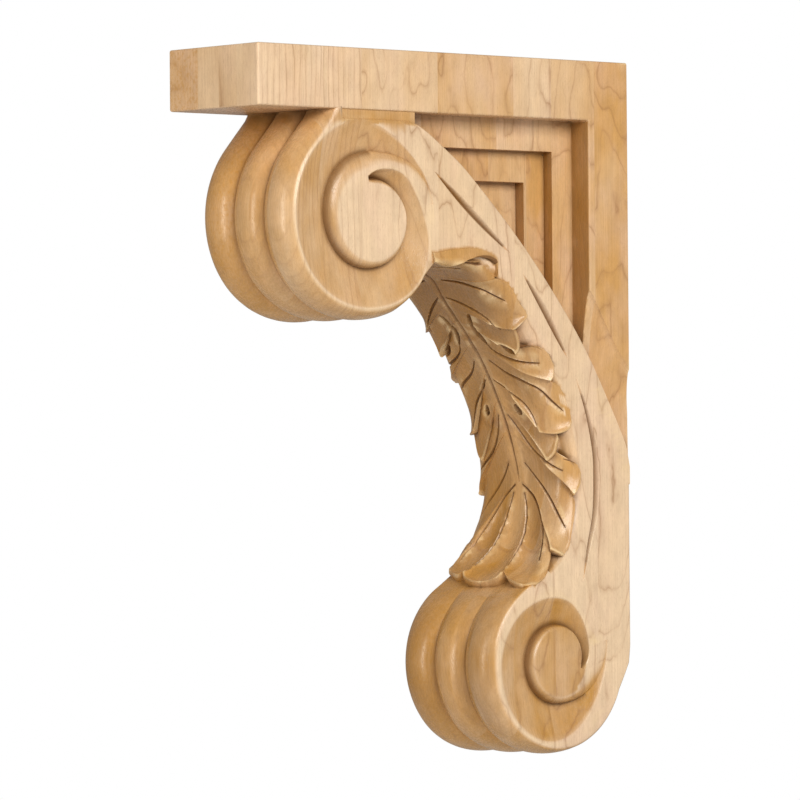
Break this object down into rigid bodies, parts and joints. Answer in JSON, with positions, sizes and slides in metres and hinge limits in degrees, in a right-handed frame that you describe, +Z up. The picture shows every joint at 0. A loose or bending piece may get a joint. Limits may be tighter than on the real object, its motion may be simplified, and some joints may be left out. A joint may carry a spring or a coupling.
{
  "type": "corbel bracket",
  "caption": "Carved wooden corbel bracket: square cap and back leg, stepped web, reeded S scroll with a volute at each end and an acanthus leaf.",
  "frame": {"origin": "on the flat back that goes against the wall, on the centre line, half way down the flat", "axes": "+Z up to the shelf face, +Y out of the back into the wall, so the scroll looks along -Y; X side to side"},
  "size_m": [0.0676, 0.229, 0.328],
  "materials": {
    "wood": "clear satin lacquer on glued-up maple"
  },
  "bodies": {
    "root": {"corbel_bracket": "wood"}
  },
  "joints": []
}
